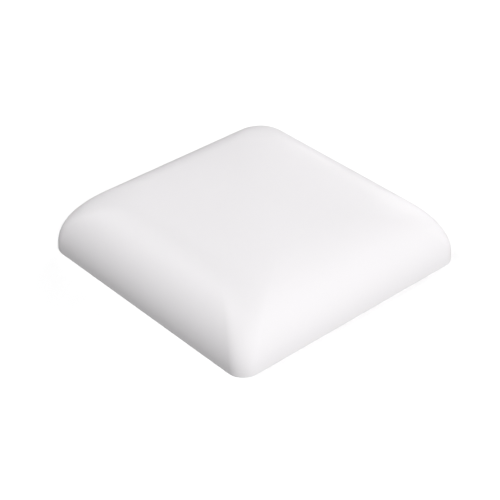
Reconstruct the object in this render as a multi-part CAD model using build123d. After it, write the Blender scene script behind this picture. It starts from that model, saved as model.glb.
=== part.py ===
"""Square fence post cap for a nominal 4 inch post, modelled as an assembly.

The cap is a low pillow: a short upright skirt, a large quarter-round roll on all four sides and
a faintly crowned top. A socket collar screwed up inside it grips the post.

Units are millimetres. The origin is the centre of the rim plane and +Z points up.
"""

from build123d import *
import os
from math import cos, hypot, radians, sin, sqrt, tan

# ---- driving sizes -------------------------------------------------------------------------

# Post and outer moulding
post_width = 101.6          # across the flats of the square post
overhang = 12.7             # cap edge beyond the post face
corner_radius = 8.0         # plan radius of the cap's corners at the rim
corner_growth = 0.45        # plan radius gained up the roll, per unit of inward travel
skirt_height = 2.5          # upright band under the roll
roll_radius = 27.5          # quarter-round between skirt and top
crown_slope = 7.0           # degrees, slope of the top where it meets the roll
wall = 3.0                  # moulding thickness
rim_break = 0.4             # rounding of the outer rim edge
section_step = 5.0          # spacing of the lofted sections along the profile

# Ribs, bosses and gussets moulded inside the cap
rib_thick = 1.8
rib_drop = 3.0              # rib depth below the ceiling
rib_pitch = 30.0
boss_d = 7.0
pilot_gap = 0.02            # thread to the hole it has cut, on the radius
gusset_thick = 1.6
gusset_lift = 1.5           # gusset foot above the rim plane
gusset_gap = 0.25           # running clearance to the collar

# Socket collar
socket_gap = 0.5            # clearance to the post on each face
socket_corner = 1.5         # inside corner radius of the socket
collar_wall = 2.4
collar_lift = 1.0           # mouth of the socket above the rim plane
collar_headroom = 1.2       # plan clearance between collar top and cap wall
collar_round = 2.5          # rounding of the collar's top edge
web_thick = 2.0
lead_in = 1.0
cup_d = 10.0                # raised cup around each screw
cup_floor = 2.0
recess_d = 6.6
recess_depth = 2.6
window_margin = 3.0         # web left between the window and the cups
window_round = 0.6

# Grip strips
groove_depth = 1.0
groove_height = 8.4
groove_length = 70.0
groove_corner = 1.5
strip_gap = 0.05            # fit of the strip in its groove
fin_count = 3
fin_root = 1.7
fin_tip = 0.5
fin_post_gap = 0.05         # fin tip to post face
fin_inset = 2.0             # fin ends back from the strip ends

# Seat gasket
gasket_thick = 1.5
gasket_width = 7.8
gasket_gap = 0.5
gasket_break = 0.3

# Screws, ISO 7049 pan head ST2.9
thread_d = 2.9
shank_hole_d = 3.2
head_d = 5.6
head_height = 2.2
head_round = 1.2
stock_lengths = (4.5, 6.5, 9.5)
tip_gap = 0.5
tip_length = 1.2
tip_d = 1.2
cross_width = 0.7
cross_length = 3.0
cross_depth = 1.2

# ---- derived sizes -------------------------------------------------------------------------

cap_half = post_width / 2 + overhang
flat_half = cap_half - roll_radius
roll_end = 90.0 - crown_slope
ceiling_z = skirt_height + roll_radius - wall

socket_half = post_width / 2 + socket_gap
collar_half = socket_half + collar_wall
web_reach = collar_half + collar_headroom - flat_half
web_top = skirt_height + sqrt((roll_radius - wall) ** 2 - web_reach**2)
web_under = web_top - web_thick
seat_z = web_under - gasket_thick
recess_top = web_under + recess_depth
cup_top = recess_top + cup_floor
window_r = hypot(rib_pitch, rib_pitch) - cup_d / 2 - window_margin
gusset_top = web_top - collar_round

pilot_top = ceiling_z
pilot_r = thread_d / 2 + pilot_gap
screw_room = pilot_top - tip_gap - recess_top
screw_length = max(length for length in stock_lengths if length <= screw_room)

groove_z = (collar_lift + lead_in + seat_z) / 2
fin_pitch = groove_height / fin_count
fin_reach = socket_half - post_width / 2 - fin_post_gap

SCREW_SPOTS = [(sx * rib_pitch, sy * rib_pitch) for sx in (-1, 1) for sy in (-1, 1)]
SIDES = {"right": 0, "back": 90, "left": 180, "front": 270}
RIB_LINES = (-rib_pitch, 0.0, rib_pitch)


# ---- building blocks -----------------------------------------------------------------------

def square(half, corner, z_low, z_high):
    """Upright square prism with rounded corners."""
    sketch = Pos(0, 0, z_low) * RectangleRounded(2 * half, 2 * half, corner)
    return extrude(sketch, z_high - z_low)


def disc(radius, z_low, z_high, x=0.0, y=0.0):
    """Upright cylinder between two heights."""
    return extrude(Pos(x, y, z_low) * Circle(radius), z_high - z_low)


def block(x_low, x_high, y_low, y_high, z_low, z_high):
    """Box between limits."""
    centre = Pos((x_low + x_high) / 2, (y_low + y_high) / 2, z_low)
    return extrude(centre * Rectangle(x_high - x_low, y_high - y_low), z_high - z_low)


def roll_section(angle, inset):
    """Half width, plan radius and height of the roll at an angle, inset from the outer skin."""
    radius = roll_radius - inset
    half = flat_half + radius * cos(angle)
    corner = corner_radius + corner_growth * roll_radius * (1 - cos(angle)) - inset * cos(angle)
    return half, corner, skirt_height + radius * sin(angle)


def pillow(inset, base_z):
    """Solid bounded by the cap's skin moved inward by inset, standing on base_z."""
    end = radians(roll_end)
    rolls = round((roll_radius - inset) * end / section_step)
    sections = [roll_section(end * i / rolls, inset) for i in range(rolls + 1)]
    half, corner, spring = sections[-1]
    rise = half * tan(radians(crown_slope)) / 2
    crowns = round(half / section_step)
    for j in range(1, crowns):
        left = 1 - j / crowns
        sections.append((half * left, corner * left, spring + rise * (1 - left**2)))
    body = loft([Pos(0, 0, z) * RectangleRounded(2 * h, 2 * h, r) for h, r, z in sections])
    return body + square(cap_half - inset, corner_radius - inset, base_z, skirt_height)


# ---- outer moulding ------------------------------------------------------------------------

def inner_ribwork():
    """Rib grid, screw bosses and centring gussets, before they are cut to the cap's skin."""
    low = ceiling_z - rib_drop
    high = ceiling_z + 2 * wall
    half_t = rib_thick / 2
    pieces = []
    for line in RIB_LINES:
        pieces.append(block(-cap_half, cap_half, line - half_t, line + half_t, low, high))
        pieces.append(block(line - half_t, line + half_t, -cap_half, cap_half, low, high))
    for x, y in SCREW_SPOTS:
        pieces.append(disc(boss_d / 2, cup_top, high, x, y))
    for turn in SIDES.values():
        for line in RIB_LINES:
            near = collar_half + gusset_gap
            side = block(near, cap_half, line - gusset_thick / 2, line + gusset_thick / 2,
                         gusset_lift, gusset_top)
            pieces.append(Rot(0, 0, turn) * side)
    return pieces[0] + pieces[1:]


def make_cap_shell():
    """Pillow-shaped outer moulding with everything moulded to its inside."""
    outer = pillow(0.0, 0.0)
    outer = fillet(outer.edges().group_by(Axis.Z)[0], rim_break)
    shell = outer - pillow(wall, -1.0)
    shell = shell + (inner_ribwork() & pillow(wall / 2, 0.0))
    pilots = [disc(pilot_r, cup_top - 1, pilot_top, x, y) for x, y in SCREW_SPOTS]
    return shell - pilots


# ---- socket collar -------------------------------------------------------------------------

def groove_tool(depth, gap, start):
    """Rounded bar lying against the +X socket face, depth measured outward from start."""
    outline = RectangleRounded(groove_length - 2 * gap, groove_height - 2 * gap,
                               groove_corner - gap)
    face = Plane(origin=(start, 0, groove_z), x_dir=(0, 1, 0), z_dir=(1, 0, 0))
    return extrude(face * outline, depth)


def make_post_collar():
    """Square socket with a windowed web that the cap is screwed down to."""
    body = square(collar_half, socket_corner + collar_wall, collar_lift, web_top)
    body = fillet(body.edges().group_by(Axis.Z)[-1], collar_round)
    body = body - square(socket_half, socket_corner, collar_lift - 1, web_under)
    mouth = body.faces().filter_by(Plane.XY).sort_by(Axis.Z)[0]
    body = chamfer(mouth.inner_wires()[0].edges(), lead_in)
    body = body - disc(window_r, web_under - 1, web_top + 1)
    window_edges = body.edges().filter_by(GeomType.CIRCLE)
    body = fillet([e for e in window_edges if abs(e.radius - window_r) < 1e-3], window_round)
    body = body + [disc(cup_d / 2, web_under, cup_top, x, y) for x, y in SCREW_SPOTS]
    body = body - [disc(recess_d / 2, web_under - 1, recess_top, x, y) for x, y in SCREW_SPOTS]
    body = body - [disc(shank_hole_d / 2, recess_top - 1, cup_top + 1, x, y)
                   for x, y in SCREW_SPOTS]
    groove = groove_tool(groove_depth + 1, 0.0, socket_half - 1)
    return body - [Rot(0, 0, turn) * groove for turn in SIDES.values()]


# ---- trim ----------------------------------------------------------------------------------

def make_grip_strip(turn):
    """Finned strip that fills one groove; turn is the angle of its socket face."""
    strip = groove_tool(groove_depth, strip_gap, socket_half)
    fins = []
    for i in range(fin_count):
        z = groove_z + (i - (fin_count - 1) / 2) * fin_pitch
        profile = Polyline(
            (socket_half + groove_depth / 2, z - fin_root / 2),
            (socket_half, z - fin_root / 2),
            (socket_half - fin_reach, z - fin_tip / 2),
            (socket_half - fin_reach, z + fin_tip / 2),
            (socket_half, z + fin_root / 2),
            (socket_half + groove_depth / 2, z + fin_root / 2),
            close=True,
        )
        length = groove_length - 2 * fin_inset
        fins.append(Pos(0, length / 2, 0) * extrude(Plane.XZ * make_face(profile), length))
    return Rot(0, 0, turn) * (strip + fins)


def make_seat_gasket():
    """Flat square ring between the post's end and the web."""
    half = socket_half - gasket_gap
    ring = square(half, socket_corner + gasket_gap, seat_z, web_under)
    ring = ring - square(half - gasket_width, socket_corner + gasket_gap, seat_z - 1, web_under + 1)
    return chamfer(ring.edges().group_by(Axis.Z)[0], gasket_break)


def make_screw():
    """Pan head screw pointing up +Z, head seated at z = 0 and hanging below it."""
    head = disc(head_d / 2, -head_height, 0)
    head = fillet(head.edges().group_by(Axis.Z)[0], head_round)
    shank = disc(thread_d / 2, 0, screw_length - tip_length)
    tip = Pos(0, 0, screw_length - tip_length / 2) * Cone(thread_d / 2, tip_d / 2, tip_length)
    cross = [
        block(-a / 2, a / 2, -b / 2, b / 2, -head_height - 1, cross_depth - head_height)
        for a, b in ((cross_width, cross_length), (cross_length, cross_width))
    ]
    return (head + shank + tip) - cross


def make_collar_screws():
    """The four screws, each in its cup."""
    screw = make_screw()
    return Compound(children=[Pos(x, y, recess_top) * screw for x, y in SCREW_SPOTS])


# ---- assembly ------------------------------------------------------------------------------

parts = {
    "cap_shell": make_cap_shell(),
    "post_collar": make_post_collar(),
    "seat_gasket": make_seat_gasket(),
    "collar_screws": make_collar_screws(),
}
for side, turn in SIDES.items():
    parts["grip_strip_" + side] = make_grip_strip(turn)

os.makedirs("parts", exist_ok=True)
for node, shape in parts.items():
    export_step(shape, "parts/" + node + ".step")

print("cap width", 2 * cap_half, "seat height", round(seat_z, 3), "screw length", screw_length)
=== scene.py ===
"""Looks of a square fence post cap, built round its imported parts.

The outer moulding, grip strips, seat gasket and screws are modelled here in more detail than the
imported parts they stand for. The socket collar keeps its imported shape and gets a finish. The origin
is the centre of the rim plane and +Z points up. Sizes of pieces are in millimetres, as on the
drawing. Everything else is in metres: finish depths and heights, lamps and the camera's distance.
"""

import logging
import math
from collections.abc import Iterable, Sequence
from dataclasses import dataclass, field
from enum import Enum

import bmesh
import bpy
from mathutils import Matrix, Vector


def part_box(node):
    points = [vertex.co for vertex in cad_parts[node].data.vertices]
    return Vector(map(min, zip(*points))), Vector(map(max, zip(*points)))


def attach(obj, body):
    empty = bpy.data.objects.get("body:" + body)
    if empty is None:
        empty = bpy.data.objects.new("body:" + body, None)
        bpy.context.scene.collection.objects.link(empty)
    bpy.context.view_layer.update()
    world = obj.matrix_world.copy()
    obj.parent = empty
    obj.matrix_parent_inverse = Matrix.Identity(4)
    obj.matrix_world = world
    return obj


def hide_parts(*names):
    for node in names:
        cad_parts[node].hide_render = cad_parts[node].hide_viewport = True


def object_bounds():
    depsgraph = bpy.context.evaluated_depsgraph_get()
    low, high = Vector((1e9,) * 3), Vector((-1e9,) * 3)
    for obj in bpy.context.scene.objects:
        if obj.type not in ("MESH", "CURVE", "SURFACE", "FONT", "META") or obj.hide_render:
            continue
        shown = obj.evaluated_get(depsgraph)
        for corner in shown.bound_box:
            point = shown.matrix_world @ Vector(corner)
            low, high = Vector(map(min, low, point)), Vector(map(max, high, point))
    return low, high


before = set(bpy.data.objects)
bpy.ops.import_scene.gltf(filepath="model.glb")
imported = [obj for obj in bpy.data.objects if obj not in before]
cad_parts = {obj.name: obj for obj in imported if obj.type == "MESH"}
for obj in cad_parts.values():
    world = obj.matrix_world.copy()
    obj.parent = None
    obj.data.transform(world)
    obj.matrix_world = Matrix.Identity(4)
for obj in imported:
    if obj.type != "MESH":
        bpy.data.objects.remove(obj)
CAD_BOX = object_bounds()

LOG = logging.getLogger("post_cap")
MM = 0.001
TOUCH = 1e-6  # metres, how near a vertex is to a plane that it lies on
WELD = 1e-7  # metres, how near two vertices are that become one
Colour = tuple[float, float, float]


def grey(level: float, warmth: float = 0.0) -> Colour:
    """A grey with a little warmth, which lifts red and lowers blue by the same amount."""
    return (level + warmth, level, level - warmth)


def shaded(colour: Colour, share: float) -> Colour:
    """A colour made lighter or darker by a share of itself."""
    return tuple(c * (1.0 + share) for c in colour)


# ---- shader maths --------------------------------------------------------------------------


class Term:
    """One socket of a node, which can stand in a sum or a product."""

    def __init__(self, graph: "Graph", socket: bpy.types.NodeSocket) -> None:
        """Wraps a socket.

        Args:
            graph: the material graph that the socket belongs to.
            socket: the output socket.
        """
        self.graph = graph
        self.socket = socket

    def _math(self, operation: str, left: "Term | float", right: "Term | float") -> "Term":
        """Adds one Math node.

        Args:
            operation: the node's operation.
            left: its first value.
            right: its second value.

        Returns:
            The result.
        """
        return self.graph.node("ShaderNodeMath", {"operation": operation}, {0: left, 1: right})

    def __add__(self, other: "Term | float") -> "Term":
        """self + other."""
        return self._math("ADD", self, other)

    __radd__ = __add__

    def __sub__(self, other: "Term | float") -> "Term":
        """self - other."""
        return self._math("SUBTRACT", self, other)

    def __rsub__(self, other: "Term | float") -> "Term":
        """other - self."""
        return self._math("SUBTRACT", other, self)

    def __mul__(self, other: "Term | float") -> "Term":
        """self * other."""
        return self._math("MULTIPLY", self, other)

    __rmul__ = __mul__

    def __abs__(self) -> "Term":
        """The size of self, without its sign."""
        return self._math("ABSOLUTE", self, 0.0)

    def __pow__(self, other: "Term | float") -> "Term":
        """self to a power."""
        return self._math("POWER", self, other)

    def rise(self, low: float, high: float) -> "Term":
        """A smooth step.

        Args:
            low: where it starts to leave 0.
            high: where it reaches 1. It may be below low, for a step that falls.

        Returns:
            A value between 0 and 1.
        """
        settings = {"interpolation_type": "SMOOTHSTEP"}
        return self.graph.node("ShaderNodeMapRange", settings, {0: self, 1: low, 2: high})


class Graph:
    """The node tree of one material, filled through one method."""

    def __init__(self, name: str) -> None:
        """Starts an empty material.

        Args:
            name: the material's name.
        """
        self.material = bpy.data.materials.new(name)
        self.material.use_nodes = True
        self.tree = self.material.node_tree
        self.tree.nodes.clear()

    def node(
        self,
        kind: str,
        settings: dict[str, object] | None = None,
        inputs: dict[str | int, object] | None = None,
        output: str | int = 0,
    ) -> Term:
        """Adds a node.

        Args:
            kind: the node's type name.
            settings: its properties, set first.
            inputs: a value or a Term for each socket, by name or number.
            output: which output to return.

        Returns:
            That output.
        """
        made = self.tree.nodes.new(kind)
        for name, value in (settings or {}).items():
            setattr(made, name, value)
        for name, value in (inputs or {}).items():
            if isinstance(value, Term):
                self.tree.links.new(value.socket, made.inputs[name])
            else:
                made.inputs[name].default_value = value
        return Term(self, made.outputs[output] if made.outputs else None)

    def place(self) -> Term:
        """The point on the piece, in metres."""
        return self.node("ShaderNodeTexCoord", output="Object")

    def axis(self, name: str) -> Term:
        """One coordinate of the point, in metres: X, Y or Z."""
        return self.node("ShaderNodeSeparateXYZ", inputs={0: self.place()}, output=name)

    def stretched(self, scale: Sequence[float]) -> Term:
        """The point after a scale along each axis, for patterns that run one way."""
        return self.node("ShaderNodeMapping", inputs={"Vector": self.place(), "Scale": scale})

    def noise(
        self, scale: float, detail: float = 2.0, rough: float = 0.5, where: Term | None = None
    ) -> Term:
        """A cloudy pattern around 0.5.

        Args:
            scale: cells per metre.
            detail: octaves.
            rough: weight of the finer octaves.
            where: the point to read it at, or None for the piece's own.

        Returns:
            The pattern's value.
        """
        inputs = {"Vector": where or self.place(), "Scale": scale, "Detail": detail}
        return self.node("ShaderNodeTexNoise", inputs=inputs | {"Roughness": rough})

    def specks(self, scale: float, low: float, high: float) -> Term:
        """Small round spots.

        Args:
            scale: cells per metre.
            low: distance from a cell's centre inside which a spot is solid.
            high: distance where it has faded out.

        Returns:
            1 in a spot and 0 outside.
        """
        inputs = {"Vector": self.place(), "Scale": scale}
        cells = self.node("ShaderNodeTexVoronoi", inputs=inputs, output="Distance")
        return cells.rise(high, low)

    def tint(self, mask: Term, off: Colour | Term, on: Colour | Term) -> Term:
        """A colour that goes from one to another.

        Args:
            mask: 0 for off and 1 for on.
            off: the first colour.
            on: the second colour.

        Returns:
            The mixed colour.
        """
        ends = {6: off, 7: on}
        colours = {k: v if isinstance(v, Term) else (*v, 1.0) for k, v in ends.items()}
        return self.node("ShaderNodeMix", {"data_type": "RGBA"}, {0: mask, **colours}, output=2)

    def bump(self, height: Term, depth: float, under: Term | None = None) -> Term:
        """A relief in the surface.

        Args:
            height: the pattern, 0 to 1.
            depth: how deep the pattern goes, in metres.
            under: a normal that the relief adds to.

        Returns:
            The new normal.
        """
        inputs = {"Height": height, "Strength": 1.0, "Distance": depth}
        if under is not None:
            inputs["Normal"] = under
        return self.node("ShaderNodeBump", inputs=inputs)

    def surface(self, **sockets: object) -> bpy.types.Material:
        """Ends the graph with a Principled surface.

        Args:
            **sockets: values and Terms by socket name, with _ for a space.

        Returns:
            The finished material.
        """
        inputs = {name.replace("_", " "): value for name, value in sockets.items()}
        shader = self.node("ShaderNodeBsdfPrincipled", inputs=inputs)
        self.node("ShaderNodeOutputMaterial", inputs={"Surface": shader})
        return self.material


# ---- finishes ------------------------------------------------------------------------------


@dataclass(frozen=True)
class SatinMoulding:
    """Finish of the outer moulding: white satin plastic with a fine spark texture."""

    name: str = "shell_satin_white"
    white: Colour = (0.806, 0.790, 0.804)
    mottle: float = 0.012
    roughness: float = 0.40
    texture_depth: float = 4e-6
    ripple_depth: float = 2.0e-5
    dust: Colour = (0.70, 0.685, 0.65)
    wear_height: float = 0.0022
    wear_share: float = 0.35
    fleck_share: float = 0.22
    rub_rough: float = 0.05
    wear_rough: float = 0.12
    grain_rough: float = 0.04

    def material(self) -> bpy.types.Material:
        """Builds the material."""
        g = Graph(self.name)
        flow = g.noise(16.0, 3.0, 0.55)
        grain = g.noise(5200.0, 2.0, 0.6)
        base = g.tint(flow, shaded(self.white, -self.mottle), shaded(self.white, self.mottle))
        height = g.axis("Z")
        handled = g.noise(420.0, 4.0, 0.65).rise(0.56, 0.74)
        rim_wear = height.rise(self.wear_height, 0.0) * handled
        fleck = g.specks(260.0, 0.035, 0.06) * g.noise(45.0).rise(0.56, 0.68)
        worn = g.tint(rim_wear * self.wear_share, base, self.dust)
        colour = g.tint(fleck * self.fleck_share, worn, self.dust)
        rub = g.noise(38.0, 4.0, 0.6).rise(0.45, 0.75)
        rough = self.roughness + self.rub_rough * rub + self.wear_rough * rim_wear
        rough = rough + self.grain_rough * (grain - 0.5)
        ripple = g.bump(g.noise(55.0, 1.0, 0.4), self.ripple_depth)
        normal = g.bump(grain, self.texture_depth, ripple)
        return g.surface(Base_Color=colour, Roughness=rough, Normal=normal, IOR=1.49)


@dataclass(frozen=True)
class CollarMoulding:
    """Finish of the socket collar: matt off-white plastic with flow lines and scuffs."""

    name: str = "collar_matt_white"
    level: float = 0.70
    roughness: float = 0.58
    texture_depth: float = 9e-6
    scuff: Colour = (0.56, 0.55, 0.53)
    scuff_top: float = 0.0055
    scuff_full: float = 0.0012
    scuff_share: float = 0.5
    scuff_rough: float = 0.08
    grain_rough: float = 0.10
    drawn_depth: float = 1.2e-5

    def material(self) -> bpy.types.Material:
        """Builds the material."""
        g = Graph(self.name)
        flow = g.noise(60.0, 3.0, 0.6, g.stretched((1.0, 1.0, 6.0)))
        grain = g.noise(3400.0, 2.0, 0.6)
        base = g.tint(flow, grey(self.level - 0.03, 0.004), grey(self.level + 0.02, 0.004))
        mouth = g.axis("Z").rise(self.scuff_top, self.scuff_full)
        drawn = g.noise(900.0, 3.0, 0.6, g.stretched((1.0, 1.0, 0.06)))
        scuffed = mouth * drawn.rise(0.52, 0.66)
        colour = g.tint(scuffed * self.scuff_share, base, self.scuff)
        rough = self.roughness + self.grain_rough * (grain - 0.5) - self.scuff_rough * scuffed
        normal = g.bump(drawn, self.drawn_depth, g.bump(grain, self.texture_depth))
        return g.surface(Base_Color=colour, Roughness=rough, Normal=normal, IOR=1.49)


@dataclass(frozen=True)
class MouldedRubber:
    """Finish of a rubber part: dark, matt, with chalky bloom and fine pores, whose colour is darkened
    as painted shade.
    """

    name: str
    level: float
    bloom: float
    pore_scale: float
    pore_depth: float
    # share and colour level of the painted shade in the pores
    pore_shade_share: float = 0.5
    pore_painted_shade: float = 0.5
    bloom_lift: float = 0.12
    roughness: float = 0.72
    bloom_rough: float = 0.16
    pore_rough: float = 0.10
    skin_depth: float = 1.5e-5

    def material(self) -> bpy.types.Material:
        """Builds the material."""
        g = Graph(self.name)
        cloud = g.noise(140.0, 4.0, 0.6)
        pores = g.specks(self.pore_scale, 0.16, 0.34)
        dusty = cloud.rise(0.48, 0.72)
        chalky = grey(self.level + self.bloom_lift, 0.004)
        base = g.tint(dusty * self.bloom, grey(self.level), chalky)
        # painted shade: the pores' colour is darkened to stand for the shade inside them
        colour = g.tint(pores * self.pore_shade_share, base, grey(self.level * self.pore_painted_shade))
        rough = self.roughness + self.bloom_rough * dusty - self.pore_rough * pores
        skin = g.bump(g.noise(1800.0, 3.0, 0.6), self.skin_depth)
        normal = g.bump(1.0 - pores, self.pore_depth, skin)
        return g.surface(Base_Color=colour, Roughness=rough, Normal=normal, IOR=1.52)


@dataclass(frozen=True)
class TurnedSteel:
    """Finish of the screws: plain stainless steel with turning rings round each axis."""

    name: str = "screw_turned_steel"
    pitch: float = 0.030
    ring_scale: float = 6000.0
    ring_depth: float = 6e-6
    dark_ring: Colour = (0.50, 0.50, 0.485)
    bright_ring: Colour = (0.66, 0.66, 0.64)
    stain: Colour = (0.40, 0.385, 0.355)
    stain_share: float = 0.35

    def material(self) -> bpy.types.Material:
        """Builds the material."""
        g = Graph(self.name)
        across = abs(g.axis("X")) - self.pitch
        along = abs(g.axis("Y")) - self.pitch
        radius = (across * across + along * along) ** 0.5
        ring_place = g.node("ShaderNodeCombineXYZ", inputs={0: radius, 2: g.axis("Z") * 0.4})
        rings = g.noise(self.ring_scale, 2.0, 0.7, ring_place)
        stained = g.noise(500.0, 4.0, 0.6).rise(0.5, 0.72)
        base = g.tint(rings, self.dark_ring, self.bright_ring)
        colour = g.tint(stained * self.stain_share, base, self.stain)
        rough = 0.26 + 0.16 * rings + 0.14 * stained
        normal = g.bump(rings, self.ring_depth)
        return g.surface(Base_Color=colour, Metallic=1.0, Roughness=rough, Normal=normal)


@dataclass(frozen=True)
class StudioPaper:
    """Finish of the floor: white paper, which is not part of the cap."""

    name: str = "floor_paper"
    level: float = 0.94
    glow: float = 0.09
    fade_start: float = 0.14
    fade_end: float = 0.45
    mottle: float = 0.005
    roughness: float = 0.9
    fibre_depth: float = 2e-5

    def material(self) -> bpy.types.Material:
        """Builds the material, which turns to plain white far out and is clear from below."""
        g = Graph(self.name)
        fibre = g.noise(900.0, 3.0, 0.6)
        cloud = g.noise(3.0, 2.0, 0.5)
        colour = g.tint(cloud, grey(self.level - self.mottle), grey(self.level + self.mottle))
        east, north = g.axis("X"), g.axis("Y")
        away = (east * east + north * north) ** 0.5
        light = g.tint(away.rise(self.fade_start, self.fade_end), grey(self.glow), grey(1.0))
        inputs = {"Base Color": colour, "Roughness": self.roughness}
        inputs |= {"Normal": g.bump(fibre, self.fibre_depth)}
        inputs |= {"Emission Color": light, "Emission Strength": 1.0}
        paper = g.node("ShaderNodeBsdfPrincipled", inputs=inputs)
        clear = g.node("ShaderNodeBsdfTransparent")
        below = g.node("ShaderNodeNewGeometry", output="Backfacing")
        shown = g.node("ShaderNodeMixShader", inputs={0: below, 1: paper, 2: clear})
        g.node("ShaderNodeOutputMaterial", inputs={"Surface": shown})
        return g.material


# ---- mesh work -----------------------------------------------------------------------------


class Join(Enum):
    """How one solid is combined with another."""

    ADD = "UNION"
    CUT = "DIFFERENCE"


class Side(Enum):
    """The four sides of the cap, with the turn about Z from the +X side, in degrees."""

    RIGHT = 0
    BACK = 90
    LEFT = 180
    FRONT = 270


@dataclass(frozen=True)
class Level:
    """One rounded square of a skin: half width, corner radius and height, in millimetres."""

    half: float
    corner: float
    height: float


@dataclass(frozen=True)
class Spot:
    """A vertex's place on every rounded square: share of the straight part, and arc direction."""

    share: tuple[float, float]
    lean: tuple[float, float]

    def on(self, level: Level) -> Vector:
        """The spot's point on a level, in metres."""
        flat = level.half - level.corner
        plan = [flat * s + level.corner * a for s, a in zip(self.share, self.lean, strict=True)]
        return Vector((*plan, level.height)) * MM


def ring_spots(per_side: int, per_corner: int) -> list[Spot]:
    """Spots round a rounded square, anticlockwise.

    Args:
        per_side: edges along each straight side.
        per_corner: edges round each corner.

    Returns:
        One spot for each vertex.
    """
    spots = []
    for quarter in range(4):
        start = math.radians(90 * quarter)
        corner = (math.cos(start + math.pi / 4), math.sin(start + math.pi / 4))
        signs = tuple(math.copysign(1.0, c) for c in corner)
        for i in range(per_corner):
            angle = start + math.pi / 2 * i / per_corner
            spots.append(Spot(signs, (math.cos(angle), math.sin(angle))))
        lean = (round(math.cos(start + math.pi / 2)), round(math.sin(start + math.pi / 2)))
        for i in range(per_side):
            slide = 1 - 2 * i / per_side
            share = (signs[0] * slide, signs[1]) if lean[0] == 0 else (signs[0], signs[1] * slide)
            spots.append(Spot(share, lean))
    return spots


class Skin:
    """Carries a ring of edges from one rounded square to the next."""

    def __init__(self, bm: bmesh.types.BMesh, per_side: int, per_corner: int) -> None:
        """Prepares a sweep.

        Args:
            bm: the mesh that it works in.
            per_side: edges along each straight side.
            per_corner: edges round each corner.
        """
        self.bm = bm
        self.spots = ring_spots(per_side, per_corner)
        self.spot_of: dict[bmesh.types.BMVert, Spot] = {}

    def start(self, level: Level) -> list[bmesh.types.BMEdge]:
        """Makes the first ring.

        Args:
            level: where it goes.

        Returns:
            The ring's edges.
        """
        count = len(self.spots)
        made = bmesh.ops.create_circle(self.bm, segments=count, radius=1.0, cap_ends=False)
        ring = sorted(made["verts"], key=lambda v: math.atan2(v.co.y, v.co.x) % math.tau)
        for vertex, spot in zip(ring, self.spots, strict=True):
            self.spot_of[vertex] = spot
            vertex.co = spot.on(level)
        return list({edge for vertex in ring for edge in vertex.link_edges})

    def grow(self, edges: list[bmesh.types.BMEdge], level: Level) -> list[bmesh.types.BMEdge]:
        """Extrudes a ring to the next level.

        Args:
            edges: the ring to extrude.
            level: where the new ring goes.

        Returns:
            The new ring's edges.
        """
        made = bmesh.ops.extrude_edge_only(self.bm, edges=edges)["geom"]
        fresh = {item for item in made if isinstance(item, bmesh.types.BMVert)}
        for vertex in fresh:
            others = (edge.other_vert(vertex) for edge in vertex.link_edges)
            source = next(other for other in others if other not in fresh)
            self.spot_of[vertex] = self.spot_of[source]
            vertex.co = self.spot_of[vertex].on(level)
        return [
            item
            for item in made
            if isinstance(item, bmesh.types.BMEdge) and set(item.verts) <= fresh
        ]

    def close(self, edges: list[bmesh.types.BMEdge], height: float) -> None:
        """Closes a ring to a point on the axis.

        Args:
            edges: the ring.
            height: the point's height, in millimetres.
        """
        last = self.grow(edges, Level(0.0, 0.0, height))
        verts = list({vertex for edge in last for vertex in edge.verts})
        bmesh.ops.pointmerge(self.bm, verts=verts, merge_co=Vector((0, 0, height)) * MM)


def box(
    bm: bmesh.types.BMesh, low: Sequence[float], high: Sequence[float]
) -> list[bmesh.types.BMVert]:
    """Adds a box.

    Args:
        bm: the mesh.
        low: its lowest corner, in millimetres.
        high: its highest corner, in millimetres.

    Returns:
        Its vertices.
    """
    size = [b - a for a, b in zip(low, high, strict=True)]
    centre = [(a + b) / 2 for a, b in zip(low, high, strict=True)]
    place = Matrix.Translation(Vector(centre) * MM) @ Matrix.Diagonal((*(s * MM for s in size), 1))
    return bmesh.ops.create_cube(bm, size=1.0, matrix=place)["verts"]


def slice_off(bm: bmesh.types.BMesh, point: Vector, outward: Vector) -> None:
    """Cuts away what lies beyond a plane and closes the cut.

    Args:
        bm: the mesh, one convex solid.
        point: a point on the plane, in metres.
        outward: the plane's normal, towards what goes.
    """
    geom = [*bm.verts, *bm.edges, *bm.faces]
    cut = bmesh.ops.bisect_plane(
        bm, geom=geom, plane_co=point, plane_no=outward, clear_outer=True, dist=WELD
    )
    edges = [item for item in cut["geom_cut"] if isinstance(item, bmesh.types.BMEdge)]
    if edges:
        bmesh.ops.edgeloop_fill(bm, edges=edges)


def round_edges(
    bm: bmesh.types.BMesh, edges: Iterable[bmesh.types.BMEdge], width: float, segments: int = 2
) -> None:
    """Rounds edges.

    Args:
        bm: the mesh.
        edges: the edges to round.
        width: the bevel's width, in millimetres.
        segments: faces across it.
    """
    bmesh.ops.bevel(
        bm,
        geom=list(edges),
        offset=width * MM,
        offset_type="OFFSET",
        affect="EDGES",
        segments=segments,
        profile=0.5,
        material=-1,
        clamp_overlap=True,
    )


def as_object(bm: bmesh.types.BMesh, name: str) -> bpy.types.Object:
    """Turns a bmesh into an object at the origin, with its faces pointing outwards.

    Args:
        bm: the mesh, which is freed.
        name: the object's name.

    Returns:
        The object.
    """
    bmesh.ops.remove_doubles(bm, verts=bm.verts, dist=WELD)
    bmesh.ops.recalc_face_normals(bm, faces=bm.faces)
    mesh = bpy.data.meshes.new(name)
    bm.to_mesh(mesh)
    bm.free()
    made = bpy.data.objects.new(name, mesh)
    bpy.context.scene.collection.objects.link(made)
    return made


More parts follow.
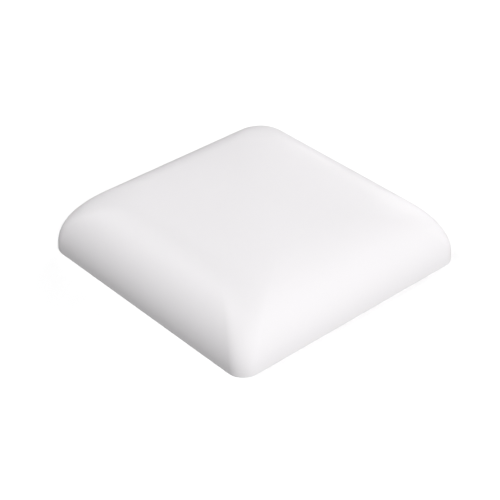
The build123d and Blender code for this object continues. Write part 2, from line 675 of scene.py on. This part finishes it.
def combine(body: bpy.types.Object, tool: bpy.types.Object, how: Join) -> None:
    """Combines two closed solids into the first and removes the second.

    Args:
        body: the solid that stays.
        tool: the solid that is added or cut away.
        how: which of the two.
    """
    step = body.modifiers.new("combine", "BOOLEAN")
    step.operation = how.value
    step.solver = "EXACT"
    step.object = tool
    depsgraph = bpy.context.evaluated_depsgraph_get()
    made = bpy.data.meshes.new_from_object(body.evaluated_get(depsgraph))
    body.modifiers.clear()
    old, body.data = body.data, made
    made.name = body.name
    bpy.data.meshes.remove(old)
    bpy.data.objects.remove(tool)


def dress(
    piece: bpy.types.Object,
    material: bpy.types.Material,
    nodes: Sequence[str],
    crease: float = 32.0,
) -> None:
    """Finishes a new piece: shading, material, and what it stands for.

    Args:
        piece: the piece.
        material: its material.
        nodes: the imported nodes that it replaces.
        crease: edges sharper than this, in degrees, stay crisp.
    """
    mesh = piece.data
    mesh.materials.clear()
    mesh.materials.append(material)
    mesh.polygons.foreach_set("use_smooth", [True] * len(mesh.polygons))
    mesh.set_sharp_from_angle(angle=math.radians(crease))
    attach(piece, "root")
    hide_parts(*nodes)
    LOG.info("%s: %d faces for %s", piece.name, len(mesh.polygons), ", ".join(nodes))


# ---- the cap's sub-assemblies --------------------------------------------------------------


@dataclass
class OuterMoulding:
    """The pillow-shaped cap with its ribs, screw bosses and centring gussets."""

    half: float = 63.5
    corner: float = 8.0
    corner_growth: float = 0.45
    skirt: float = 2.5
    roll: float = 27.5
    crown_slope: float = 7.0
    wall: float = 3.0
    rim_round: float = 0.4
    inner_round: float = 0.3
    rib_lines: tuple[float, ...] = (-30.0, 0.0, 30.0)
    rib_thick: float = 1.8
    rib_low: float = 24.0
    rib_top: float = 29.3
    rib_draft: float = 0.82
    rib_reach: float = 55.0
    rib_cuts: tuple[float, ...] = (72.0, 62.0, 54.0)
    rib_round: float = 0.3
    boss_radius: float = 3.5
    boss_foot: float = 20.69
    boss_top: float = 28.8
    boss_flare: float = 1.06
    boss_round: float = 0.3
    pilot_radius: float = 1.47
    pilot_depth: float = 6.31
    gusset_thick: float = 1.6
    gusset_near: float = 53.95
    gusset_low: float = 1.5
    gusset_top: float = 15.59
    gusset_draft: float = 0.88
    gusset_round: float = 0.25
    gusset_cuts: tuple[float, ...] = (2.0, 12.0, 24.0)
    finish: SatinMoulding = field(default_factory=SatinMoulding)

    def roll_level(self, angle: float, inset: float) -> Level:
        """A level of the roll.

        Args:
            angle: how far up the roll, in degrees.
            inset: distance in from the outer skin.

        Returns:
            The level.
        """
        turn = math.radians(angle)
        radius = self.roll - inset
        grown = self.corner_growth * self.roll * (1 - math.cos(turn))
        corner = self.corner + grown - inset * math.cos(turn)
        half = self.half - self.roll + radius * math.cos(turn)
        return Level(half, corner, self.skirt + radius * math.sin(turn))

    def climb(self, inset: float, rolls: int, crowns: int) -> list[Level]:
        """Levels from the top of the skirt to the middle of the crown.

        Args:
            inset: distance in from the outer skin.
            rolls: steps up the roll.
            crowns: steps over the crown.

        Returns:
            The levels, lowest first. The last is a small ring round the axis.
        """
        end = 90.0 - self.crown_slope
        levels = [self.roll_level(end * i / rolls, inset) for i in range(rolls + 1)]
        spring = levels[-1]
        rise = self.peak(inset) - spring.height
        for j in range(1, crowns):
            left = 1 - j / crowns
            height = spring.height + rise * (1 - left**2)
            levels.append(Level(spring.half * left, spring.corner * left, height))
        return levels

    def peak(self, inset: float) -> float:
        """Height of the skin on the axis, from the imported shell's own top."""
        return CAD_BOX[1].z / MM - inset

    def rim_levels(self) -> list[Level]:
        """Levels down the skirt, round the rim's edge, across it and up inside."""
        levels = [Level(self.half, self.corner, self.skirt * t) for t in (0.7, 0.4)]
        for radius, inset, turn in ((self.rim_round, 0.0, 1), (self.inner_round, self.wall, -1)):
            arc = [math.radians(90 * i / 5) for i in range(6)]
            for angle in arc if turn > 0 else reversed(arc):
                back = radius * (1 - math.cos(angle)) * turn + inset
                level = Level(self.half - back, self.corner - back, radius * (1 - math.sin(angle)))
                levels.append(level)
        inner = self.half - self.wall
        levels += [Level(inner, self.corner - self.wall, self.skirt * t) for t in (0.4, 0.7)]
        return levels

    def shell(self) -> bpy.types.Object:
        """Sweeps the whole skin, outside, rim and inside, as one closed solid."""
        bm = bmesh.new()
        skin = Skin(bm, per_side=14, per_corner=14)
        outside = list(reversed(self.climb(0.0, 30, 18)))
        inside = self.climb(self.wall, 24, 14)
        first = edges = skin.start(outside[0])
        for level in outside[1:] + self.rim_levels() + inside:
            edges = skin.grow(edges, level)
        skin.close(edges, self.peak(self.wall))
        skin.close(first, self.peak(0.0))
        return as_object(bm, "cap_moulding")

    def follow_wall(
        self, bm: bmesh.types.BMesh, angles: Sequence[float], ends: Sequence[int]
    ) -> None:
        """Trims a bar to the middle of the wall.

        Args:
            bm: the bar, which runs along X.
            angles: where up the roll each cut touches the wall's middle, in degrees.
            ends: 1 for the +X end and -1 for the -X end.
        """
        middle = self.roll - self.wall / 2
        for end in ends:
            for angle in angles:
                turn = math.radians(angle)
                outward = Vector((end * math.cos(turn), 0.0, math.sin(turn)))
                centre = Vector((end * (self.half - self.roll), 0.0, self.skirt)) * MM
                slice_off(bm, centre + outward * middle * MM, outward)

    def rib(self, line: float, turn: float) -> bpy.types.Object:
        """One drafted rib across the ceiling.

        Args:
            line: its distance from the axis.
            turn: 0 to run along X and 90 to run along Y, in degrees.

        Returns:
            The rib.
        """
        bm = bmesh.new()
        t = self.rib_thick / 2
        reach = self.rib_reach
        verts = box(bm, (-reach, -t, self.rib_low), (reach, t, self.rib_top))
        low = [v for v in verts if v.co.z < self.rib_low * MM + TOUCH]
        bmesh.ops.scale(bm, vec=(1.0, self.rib_draft, 1.0), verts=low)
        self.follow_wall(bm, self.rib_cuts, (1, -1))
        foot = self.rib_low * MM + TOUCH
        runs = [
            e
            for e in bm.edges
            if all(v.co.z < foot for v in e.verts) and abs(e.verts[0].co.x - e.verts[1].co.x) > 0.02
        ]
        round_edges(bm, runs, self.rib_round, 3)
        bmesh.ops.translate(bm, vec=Vector((0.0, line, 0.0)) * MM, verts=bm.verts)
        bmesh.ops.rotate(bm, matrix=Matrix.Rotation(math.radians(turn), 3, "Z"), verts=bm.verts)
        return as_object(bm, "rib")

    def boss(self, x: float, y: float) -> bpy.types.Object:
        """One screw boss with its blind hole.

        Args:
            x: its place.
            y: its place.

        Returns:
            The boss.
        """
        bm = bmesh.new()
        height = self.boss_top - self.boss_foot
        place = Matrix.Translation(Vector((x, y, self.boss_foot + height / 2)) * MM)
        flared = self.boss_radius * self.boss_flare
        size = {"radius1": self.boss_radius * MM, "radius2": flared * MM}
        bmesh.ops.create_cone(
            bm, cap_ends=True, segments=40, depth=height * MM, matrix=place, **size
        )
        foot = [f for f in bm.faces if f.normal.z < -0.9]
        deep = self.boss_radius - self.pilot_radius
        bmesh.ops.inset_region(bm, faces=foot, thickness=deep * MM, use_even_offset=True)
        foot = [f for f in bm.faces if f.normal.z < -0.9 and len(f.verts) > 4]
        up = bmesh.ops.extrude_discrete_faces(bm, faces=foot)["faces"]
        verts = [v for f in up for v in f.verts]
        bmesh.ops.translate(bm, vec=Vector((0.0, 0.0, self.pilot_depth)) * MM, verts=verts)
        rims = {e for v in bm.verts for e in v.link_edges}
        mouth = [
            e for e in rims if all(abs(v.co.z - self.boss_foot * MM) < TOUCH for v in e.verts)
        ]
        outer = [e for e in mouth if self._reach(e, x, y) > self.boss_radius * 0.9]
        round_edges(bm, outer, self.boss_round, 2)
        return as_object(bm, "boss")

    @staticmethod
    def _reach(edge: bmesh.types.BMEdge, x: float, y: float) -> float:
        """How far an edge's first end is from an upright axis, in millimetres."""
        return math.hypot(edge.verts[0].co.x / MM - x, edge.verts[0].co.y / MM - y)

    def gusset(self, line: float, side: Side) -> bpy.types.Object:
        """One upright gusset that centres the collar.

        Args:
            line: its distance from the middle of the side.
            side: which side of the cap.

        Returns:
            The gusset.
        """
        bm = bmesh.new()
        t = self.gusset_thick / 2
        verts = box(bm, (self.gusset_near, -t, self.gusset_low), (self.half, t, self.gusset_top))
        low = [v for v in verts if v.co.z < self.gusset_low * MM + TOUCH]
        bmesh.ops.scale(bm, vec=(1.0, self.gusset_draft, 1.0), verts=low)
        near = self.gusset_near * MM + TOUCH
        edges = [e for e in bm.edges if all(v.co.x < near for v in e.verts)]
        round_edges(bm, edges, self.gusset_round, 2)
        self.follow_wall(bm, self.gusset_cuts, (1,))
        bmesh.ops.translate(bm, vec=Vector((0.0, line, 0.0)) * MM, verts=bm.verts)
        turn = Matrix.Rotation(math.radians(side.value), 3, "Z")
        bmesh.ops.rotate(bm, matrix=turn, verts=bm.verts)
        return as_object(bm, "gusset")

    def build(self) -> bpy.types.Object:
        """Builds and dresses the moulding."""
        body = self.shell()
        inner = [self.rib(line, turn) for line in self.rib_lines for turn in (0.0, 90.0)]
        inner += [
            self.boss(x, y) for x in self.rib_lines for y in self.rib_lines if x != 0.0 and y != 0.0
        ]
        work = inner[0]
        for piece in inner[1:]:
            combine(work, piece, Join.ADD)
        combine(body, work, Join.ADD)
        for side in Side:
            for line in self.rib_lines:
                combine(body, self.gusset(line, side), Join.ADD)
        dress(body, self.finish.material(), ["cap_shell"])
        return body


@dataclass
class GripStrip:
    """One rubber strip with three fins, lying in its groove in the socket wall."""

    node: str
    side: Side
    back: float = 52.3
    face: float = 51.3
    fin_face: float = 50.85
    fin_count: int = 3
    fin_root: float = 1.7
    fin_inset: float = 2.0
    fin_sink: float = 0.3
    lip_length: float = 0.995
    lip_height: float = 0.42
    lip_round: float = 0.14
    corner: float = 1.45

    def build(self, material: bpy.types.Material) -> bpy.types.Object:
        """Builds and dresses the strip.

        Args:
            material: its rubber.

        Returns:
            The strip.
        """
        low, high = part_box(self.node)
        height = (high.z - low.z) / MM
        middle = (high.z + low.z) / 2 / MM
        reach = max(high.x - low.x, high.y - low.y) / MM / 2
        bm = bmesh.new()
        box(bm, (self.face, -reach, middle - height / 2), (self.back, reach, middle + height / 2))
        ends = [e for e in bm.edges if abs(e.verts[0].co.x - e.verts[1].co.x) > 0.0005]
        round_edges(bm, ends, self.corner, 6)
        body = as_object(bm, "grip_" + self.side.name.lower())
        pitch = height / self.fin_count
        for i in range(self.fin_count):
            offset = (i - (self.fin_count - 1) / 2) * pitch
            combine(body, self.fin(middle + offset, reach - self.fin_inset), Join.ADD)
        turn = Matrix.Rotation(math.radians(self.side.value), 4, "Z")
        body.data.transform(turn)
        dress(body, material, [self.node], crease=40.0)
        return body

    def fin(self, height: float, reach: float) -> bpy.types.Object:
        """One fin with a rounded lip.

        Args:
            height: its middle.
            reach: half its length.

        Returns:
            The fin.
        """
        bm = bmesh.new()
        half = self.fin_root / 2
        base = self.face + self.fin_sink
        verts = box(bm, (self.fin_face, -reach, height - half), (base, reach, height + half))
        lip = [v for v in verts if v.co.x < self.face * MM - TOUCH]
        centre = Matrix.Translation(Vector((0, 0, -height)) * MM)
        taper = (1.0, self.lip_length, self.lip_height)
        bmesh.ops.scale(bm, vec=taper, verts=lip, space=centre)
        edge = self.fin_face * MM + TOUCH
        edges = [e for e in bm.edges if all(v.co.x < edge for v in e.verts)]
        round_edges(bm, edges, self.lip_round, 3)
        return as_object(bm, "fin")


@dataclass
class SeatGasket:
    """The flat square rubber ring under the collar's web."""

    node: str = "seat_gasket"
    width: float = 7.8
    corner: float = 2.0
    edge: float = 0.35

    def build(self, material: bpy.types.Material) -> bpy.types.Object:
        """Builds and dresses the gasket.

        Args:
            material: its rubber.

        Returns:
            The gasket.
        """
        low, high = (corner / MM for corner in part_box(self.node))
        bm = bmesh.new()
        skin = Skin(bm, per_side=24, per_corner=8)
        levels = self.section(high.x, low.z, high.z)
        first = edges = skin.start(levels[0])
        for level in levels[1:]:
            edges = skin.grow(edges, level)
        bmesh.ops.bridge_loops(bm, edges=[*first, *edges])
        piece = as_object(bm, "gasket_ring")
        dress(piece, material, [self.node], crease=45.0)
        return piece

    def section(self, outer: float, low: float, high: float) -> list[Level]:
        """The section's levels, once round it.

        Args:
            outer: half the ring's outside width.
            low: its lower face.
            high: its upper face, which lies on the web.

        Returns:
            The levels.
        """
        inner = outer - self.width
        quarter = [math.radians(30 * i) for i in range(4)]
        backs = [self.edge * (1 - math.cos(angle)) for angle in quarter]
        heights = [low + self.edge * (1 - math.sin(angle)) for angle in quarter]
        rounding = list(zip(backs, heights, strict=True))
        levels = [Level(outer, self.corner, high)]
        levels += [Level(outer - back, self.corner, height) for back, height in rounding]
        levels += [Level(inner + back, self.corner, height) for back, height in reversed(rounding)]
        levels.append(Level(inner, self.corner, high))
        return levels


@dataclass
class CollarScrews:
    """The four pan head screws that hold the collar to the cap."""

    node: str = "collar_screws"
    pitch: float = 30.0
    seat: float = 18.69
    head_radius: float = 2.8
    head_height: float = 2.2
    head_round: float = 1.2
    head_break: float = 0.08
    core_radius: float = 1.1
    neck_flare: float = 0.15
    neck_length: float = 0.3
    thread_radius: float = 1.45
    thread_pitch: float = 1.06
    thread_sink: float = 0.1
    thread_share: float = 0.3
    thread_start: float = 0.75
    thread_runout: float = 0.35
    thread_steps: int = 24
    length: float = 6.5
    tip: float = 1.2
    tip_radius: float = 0.25
    cross_reach: float = 1.5
    cross_width: float = 0.72
    cross_depth: float = 1.2
    cross_clear: float = 0.5
    cross_taper: tuple[float, float] = (0.5, 0.75)
    first_turn: float = 0.4
    turn_step: float = 1.9

    def turned(self, profile: Sequence[tuple[float, float]], steps: int) -> bpy.types.Object:
        """Spins a profile round the screw's axis.

        Args:
            profile: radius and height of each point, both ends on the axis.
            steps: faces round it.

        Returns:
            The solid.
        """
        bm = bmesh.new()
        verts = [bm.verts.new(Vector((radius, 0.0, height)) * MM) for radius, height in profile]
        edges = [bm.edges.new(pair) for pair in zip(verts, verts[1:])]
        bmesh.ops.spin(
            bm,
            geom=[*verts, *edges],
            cent=(0, 0, 0),
            axis=(0, 0, 1),
            angle=math.tau,
            steps=steps,
            use_merge=True,
        )
        return as_object(bm, "screw")

    def blank(self) -> bpy.types.Object:
        """Head and core, before the thread and the cross recess."""
        arc = [math.radians(90 * i / 6) for i in range(7)]
        rim = self.head_radius - self.head_round
        centre = self.head_round - self.head_height
        profile = [(0.0, -self.head_height)]
        profile += [
            (rim + self.head_round * math.sin(a), centre - self.head_round * math.cos(a))
            for a in arc
        ]
        shoulder = self.length - self.tip
        profile += [(self.head_radius, -self.head_break), (self.head_radius - self.head_break, 0.0)]
        profile += [(self.core_radius + self.neck_flare, 0.0), (self.core_radius, self.neck_length)]
        profile += [(self.core_radius, shoulder), (self.tip_radius, self.length)]
        profile += [(0.0, self.length)]
        return self.turned(profile, 48)

    def thread(self) -> bpy.types.Object:
        """The helical ridge, a triangle carried up and round the core."""
        bm = bmesh.new()
        root = self.core_radius - self.thread_sink
        half = self.thread_pitch * self.thread_share
        start = self.thread_start
        points = ((root, start - half), (self.thread_radius, start), (root, start + half))
        verts = [bm.verts.new(Vector((radius, 0.0, height)) * MM) for radius, height in points]
        face = bm.faces.new(verts)
        turns = (self.length - self.tip - start - self.thread_runout) / self.thread_pitch
        steps = round(turns * self.thread_steps)
        climb = Vector((0.0, 0.0, self.thread_pitch * turns / steps)) * MM
        bmesh.ops.spin(
            bm,
            geom=[*verts, *face.edges, face],
            cent=(0, 0, 0),
            axis=(0, 0, 1),
            dvec=climb,
            angle=math.tau * turns,
            steps=steps,
        )
        return as_object(bm, "thread")

    def recess(self) -> bpy.types.Object:
        """The tapered cross that is cut into the head."""
        bars = []
        for turn in (0.0, 90.0):
            bm = bmesh.new()
            foot = -self.head_height - self.cross_clear
            top = self.cross_depth - self.head_height
            half = self.cross_width / 2
            verts = box(bm, (-self.cross_reach, -half, foot), (self.cross_reach, half, top))
            deep = [v for v in verts if v.co.z > top * MM - TOUCH]
            bmesh.ops.scale(bm, vec=(*self.cross_taper, 1.0), verts=deep)
            spin = Matrix.Rotation(math.radians(turn), 3, "Z")
            bmesh.ops.rotate(bm, matrix=spin, verts=bm.verts)
            bars.append(as_object(bm, "bar"))
        combine(bars[0], bars[1], Join.ADD)
        return bars[0]

    def build(self) -> bpy.types.Object:
        """Builds one screw, sets four of them in the collar and dresses them."""
        screw = self.blank()
        combine(screw, self.recess(), Join.CUT)
        combine(screw, self.thread(), Join.ADD)
        bm = bmesh.new()
        for n, (x, y) in enumerate((x, y) for x in (-1, 1) for y in (-1, 1)):
            bm.from_mesh(screw.data)
            fresh = bm.verts[:][-len(screw.data.vertices) :]
            spin = Matrix.Rotation(self.first_turn + self.turn_step * n, 3, "Z")
            bmesh.ops.rotate(bm, matrix=spin, verts=fresh)
            spot = Vector((x * self.pitch, y * self.pitch, self.seat)) * MM
            bmesh.ops.translate(bm, vec=spot, verts=fresh)
        bpy.data.objects.remove(screw)
        piece = as_object(bm, "pan_head_screws")
        dress(piece, TurnedSteel().material(), [self.node])
        return piece


@dataclass
class SocketCollar:
    """The collar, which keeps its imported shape."""

    node: str = "post_collar"
    finish: CollarMoulding = field(default_factory=CollarMoulding)

    def dress(self) -> bpy.types.Object:
        """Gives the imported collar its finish."""
        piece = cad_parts[self.node]
        piece.data.materials.clear()
        piece.data.materials.append(self.finish.material())
        LOG.info("%s: packed shape, %d faces", piece.name, len(piece.data.polygons))
        return piece


# ---- studio --------------------------------------------------------------------------------


def towards(azimuth: float, elevation: float) -> Vector:
    """The direction from the cap to a place in the studio.

    Args:
        azimuth: 0 is in front, on the -Y side, and 90 is on the +X side, in degrees.
        elevation: above the horizon, in degrees.

    Returns:
        A unit vector.
    """
    a, e = math.radians(azimuth), math.radians(elevation)
    return Vector((math.sin(a) * math.cos(e), -math.cos(a) * math.cos(e), math.sin(e)))


@dataclass(frozen=True)
class Softbox:
    """A square soft light that faces the cap."""

    name: str
    azimuth: float
    elevation: float
    power: float
    size: float = 0.7
    distance: float = 1.3
    glints: bool = True

    def place(self) -> None:
        """Adds the light. Without glints it shades the cap and is not mirrored in it."""
        lamp = bpy.data.lights.new(self.name, "AREA")
        lamp.shape = "SQUARE"
        lamp.size = self.size
        lamp.energy = self.power
        made = bpy.data.objects.new(self.name, lamp)
        made.location = towards(self.azimuth, self.elevation) * self.distance
        made.rotation_euler = (-made.location).to_track_quat("-Z", "Y").to_euler()
        made.visible_glossy = self.glints
        bpy.context.scene.collection.objects.link(made)


@dataclass
class Studio:
    """Floor, lights and camera."""

    lights: tuple[Softbox, ...] = (
        Softbox("top_left", 330.0, 65.0, 3.30),
        Softbox("front_fill", 0.0, 38.0, 2.80, glints=False),
        Softbox("key_right", 60.0, 38.0, 10.65, glints=False),
        Softbox("back_high", 190.0, 38.0, 2.16, glints=False),
        Softbox("left_fill", 300.0, 38.0, 6.50, glints=False),
        Softbox("right_low", 150.0, 12.0, 7.88, glints=False),
        Softbox("back_low", 200.0, 12.0, 11.46, glints=False),
        Softbox("right_bounce", 90.0, -15.0, 8.45, glints=False),
        Softbox("under_fill", 48.0, -90.0, 10.0, size=0.3),
    )
    backdrop: float = 1.0
    floor_half: float = 2500.0
    floor_drop: float = 0.03
    azimuth: float = 48.006
    elevation: float = 34.907
    distance: float = 0.66210
    lens: float = 108.14
    shift: tuple[float, float] = (-0.00748, 0.00537)

    def floor(self) -> None:
        """Lays the floor just under the rim. It blocks no light, so the underside is lit."""
        bm = bmesh.new()
        place = Matrix.Translation(Vector((0.0, 0.0, -self.floor_drop)) * MM)
        bmesh.ops.create_grid(
            bm, x_segments=1, y_segments=1, size=self.floor_half * MM, matrix=place
        )
        sheet = as_object(bm, "studio_floor")
        if sheet.data.polygons[0].normal.z < 0:
            sheet.data.flip_normals()
        sheet.data.materials.append(StudioPaper().material())
        sheet.visible_diffuse = sheet.visible_glossy = sheet.visible_shadow = False

    def light(self) -> None:
        """Adds the soft lights and a white backdrop, which is seen and lights nothing."""
        world = bpy.data.worlds.new("studio_air")
        world.use_nodes = True
        back = world.node_tree.nodes["Background"]
        back.inputs["Color"].default_value = (1.0, 1.0, 1.0, 1.0)
        back.inputs["Strength"].default_value = self.backdrop
        seen_by = world.cycles_visibility
        seen_by.diffuse = seen_by.glossy = seen_by.transmission = seen_by.scatter = False
        bpy.context.scene.world = world
        for softbox in self.lights:
            softbox.place()
        bpy.context.scene.view_settings.view_transform = "Standard"

    def camera(self) -> None:
        """Adds the camera, which looks at the middle of the rim plane."""
        data = bpy.data.cameras.new("studio_camera")
        data.sensor_width = 36.0
        data.lens = self.lens
        data.shift_x, data.shift_y = self.shift
        made = bpy.data.objects.new("studio_camera", data)
        made.location = towards(self.azimuth, self.elevation) * self.distance
        made.rotation_euler = (-made.location).to_track_quat("-Z", "Y").to_euler()
        bpy.context.scene.collection.objects.link(made)
        bpy.context.scene.camera = made

    def build(self) -> None:
        """Sets up the whole studio."""
        self.floor()
        self.light()
        self.camera()


# ---- assembly ------------------------------------------------------------------------------


def main() -> None:
    """Builds the cap and the studio round it."""
    logging.basicConfig(level=logging.INFO, format="%(name)s %(message)s")
    OuterMoulding().build()
    SocketCollar().dress()
    grip = MouldedRubber("grip_rubber_dark", 0.075, 0.5, 1500.0, 1.2e-5).material()
    for side in Side:
        GripStrip("grip_strip_" + side.name.lower(), side).build(grip)
    SeatGasket().build(MouldedRubber("gasket_rubber_black", 0.045, 0.35, 1100.0, 4e-5).material())
    CollarScrews().build()
    Studio().build()


if __name__ == "__main__":
    main()
